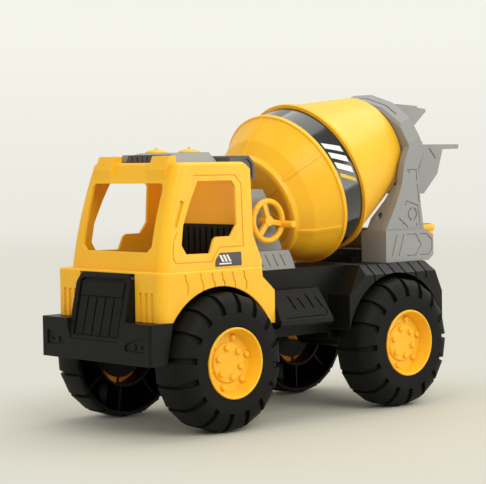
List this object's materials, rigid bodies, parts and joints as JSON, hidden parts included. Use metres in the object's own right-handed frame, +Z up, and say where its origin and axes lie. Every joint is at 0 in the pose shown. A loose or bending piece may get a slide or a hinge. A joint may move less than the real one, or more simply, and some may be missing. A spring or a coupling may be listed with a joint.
{
  "type": "toy cement mixer",
  "caption": "Toy cement mixer truck with an open-window cab, a tilted drum geared to a hand wheel, big lugged wheels, a rear hopper tower and a swivelling discharge chute.",
  "frame": {"origin": "on the ground, midway between the two axles, on the truck's centre plane", "axes": "+X toward the front of the truck, +Y toward its left side, +Z up"},
  "size_m": [0.43, 0.184, 0.2922],
  "materials": {
    "yellow_plastic": "satin moulded, lightly glossy",
    "black_plastic": "satin moulded",
    "grey_plastic": "satin moulded",
    "dark_grey_plastic": "satin moulded",
    "tyre_black": "satin moulded",
    "label_film": "printed film",
    "band_film": "glossy printed film",
    "white_plastic": "natural nylon",
    "steel": "plain"
  },
  "bodies": {
    "truck": {"chassis": "black_plastic", "front_bumper": "black_plastic", "grille": "black_plastic", "cab_shell": "yellow_plastic", "cab_seat": "black_plastic", "door_labels": "label_film", "roof_panel": "grey_plastic", "roof_vent": "dark_grey_plastic", "roof_bracket": "dark_grey_plastic", "beacons": "yellow_plastic", "axle_bushes": "white_plastic", "gear_housing_left": "grey_plastic", "gear_housing_right": "grey_plastic", "crank_bush": "white_plastic", "drum_front_bush": "white_plastic", "rear_base": "grey_plastic", "rear_arch": "grey_plastic", "feed_hopper": "grey_plastic", "discharge_hopper": "grey_plastic", "chute_bracket": "grey_plastic", "housing_screws": "steel", "base_screws": "steel", "cab_screws": "steel", "chute_pin": "steel"},
    "front_wheels": {"front_axle": "steel", "tyre_front_left": "tyre_black", "tyre_front_right": "tyre_black", "hub_front_left": "yellow_plastic", "hub_front_right": "yellow_plastic"},
    "rear_wheels": {"rear_axle": "steel", "tyre_rear_left": "tyre_black", "tyre_rear_right": "tyre_black", "hub_rear_left": "yellow_plastic", "hub_rear_right": "yellow_plastic"},
    "drum": {"drum_front_shell": "yellow_plastic", "drum_rear_shell": "yellow_plastic", "drum_band": "band_film", "drum_shaft": "steel", "drum_gear": "white_plastic"},
    "crank": {"hand_wheel": "yellow_plastic", "crank_shaft": "steel", "crank_pinion": "white_plastic"},
    "chute": {"chute": "yellow_plastic"}
  },
  "joints": [
    {"name": "front_wheels_roll", "type": "hinge", "parent": "truck", "child": "front_wheels", "pos_m": [0.108, 0, 0.06], "axis": [0, 1, 0], "continuous": true},
    {"name": "rear_wheels_roll", "type": "hinge", "parent": "truck", "child": "rear_wheels", "pos_m": [-0.108, 0, 0.06], "axis": [0, 1, 0], "continuous": true},
    {"name": "drum_turn", "type": "hinge", "parent": "truck", "child": "drum", "pos_m": [-0.0395, 0, 0.2032], "axis": [-0.9304, 0, 0.3665], "continuous": true},
    {"name": "hand_wheel_turn", "type": "hinge", "parent": "truck", "child": "crank", "pos_m": [0.02749, 0, 0.17681], "axis": [0, 1, 0], "continuous": true},
    {"name": "chute_swivel", "type": "hinge", "parent": "truck", "child": "chute", "pos_m": [-0.21, 0, 0.146], "axis": [0, 0, -1], "range_deg": [0, 180]}
  ],
  "couplings": [
    {"joint": "hand_wheel_turn", "follows": "drum_turn", "ratio": -2}
  ]
}
